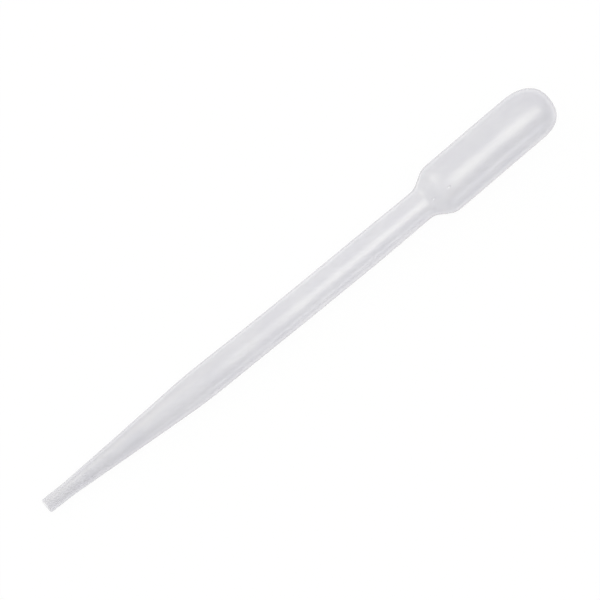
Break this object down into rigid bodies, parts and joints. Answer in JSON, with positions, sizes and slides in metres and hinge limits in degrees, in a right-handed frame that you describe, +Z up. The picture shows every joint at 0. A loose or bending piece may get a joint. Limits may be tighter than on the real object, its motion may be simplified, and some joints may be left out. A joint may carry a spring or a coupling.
{
  "type": "dropper pipette",
  "caption": "One-piece translucent plastic dropper pipette: closed squeeze bulb, round hollow stem and drawn-down open tip, for moving small amounts of liquid.",
  "frame": {"origin": "middle of the underside of the pipette's box, on the surface that it lies on", "axes": "+X along the pipette from its tip to its bulb, +Y to the left of that, +Z up; the axis of the bore climbs 1.9 degrees towards the bulb"},
  "size_m": [0.15, 0.0128, 0.0137],
  "materials": {
    "natural_polyethylene": "natural low-density polyethylene, milky translucent, satin from the mould"
  },
  "bodies": {
    "root": {"pipette": "natural_polyethylene"}
  },
  "joints": []
}
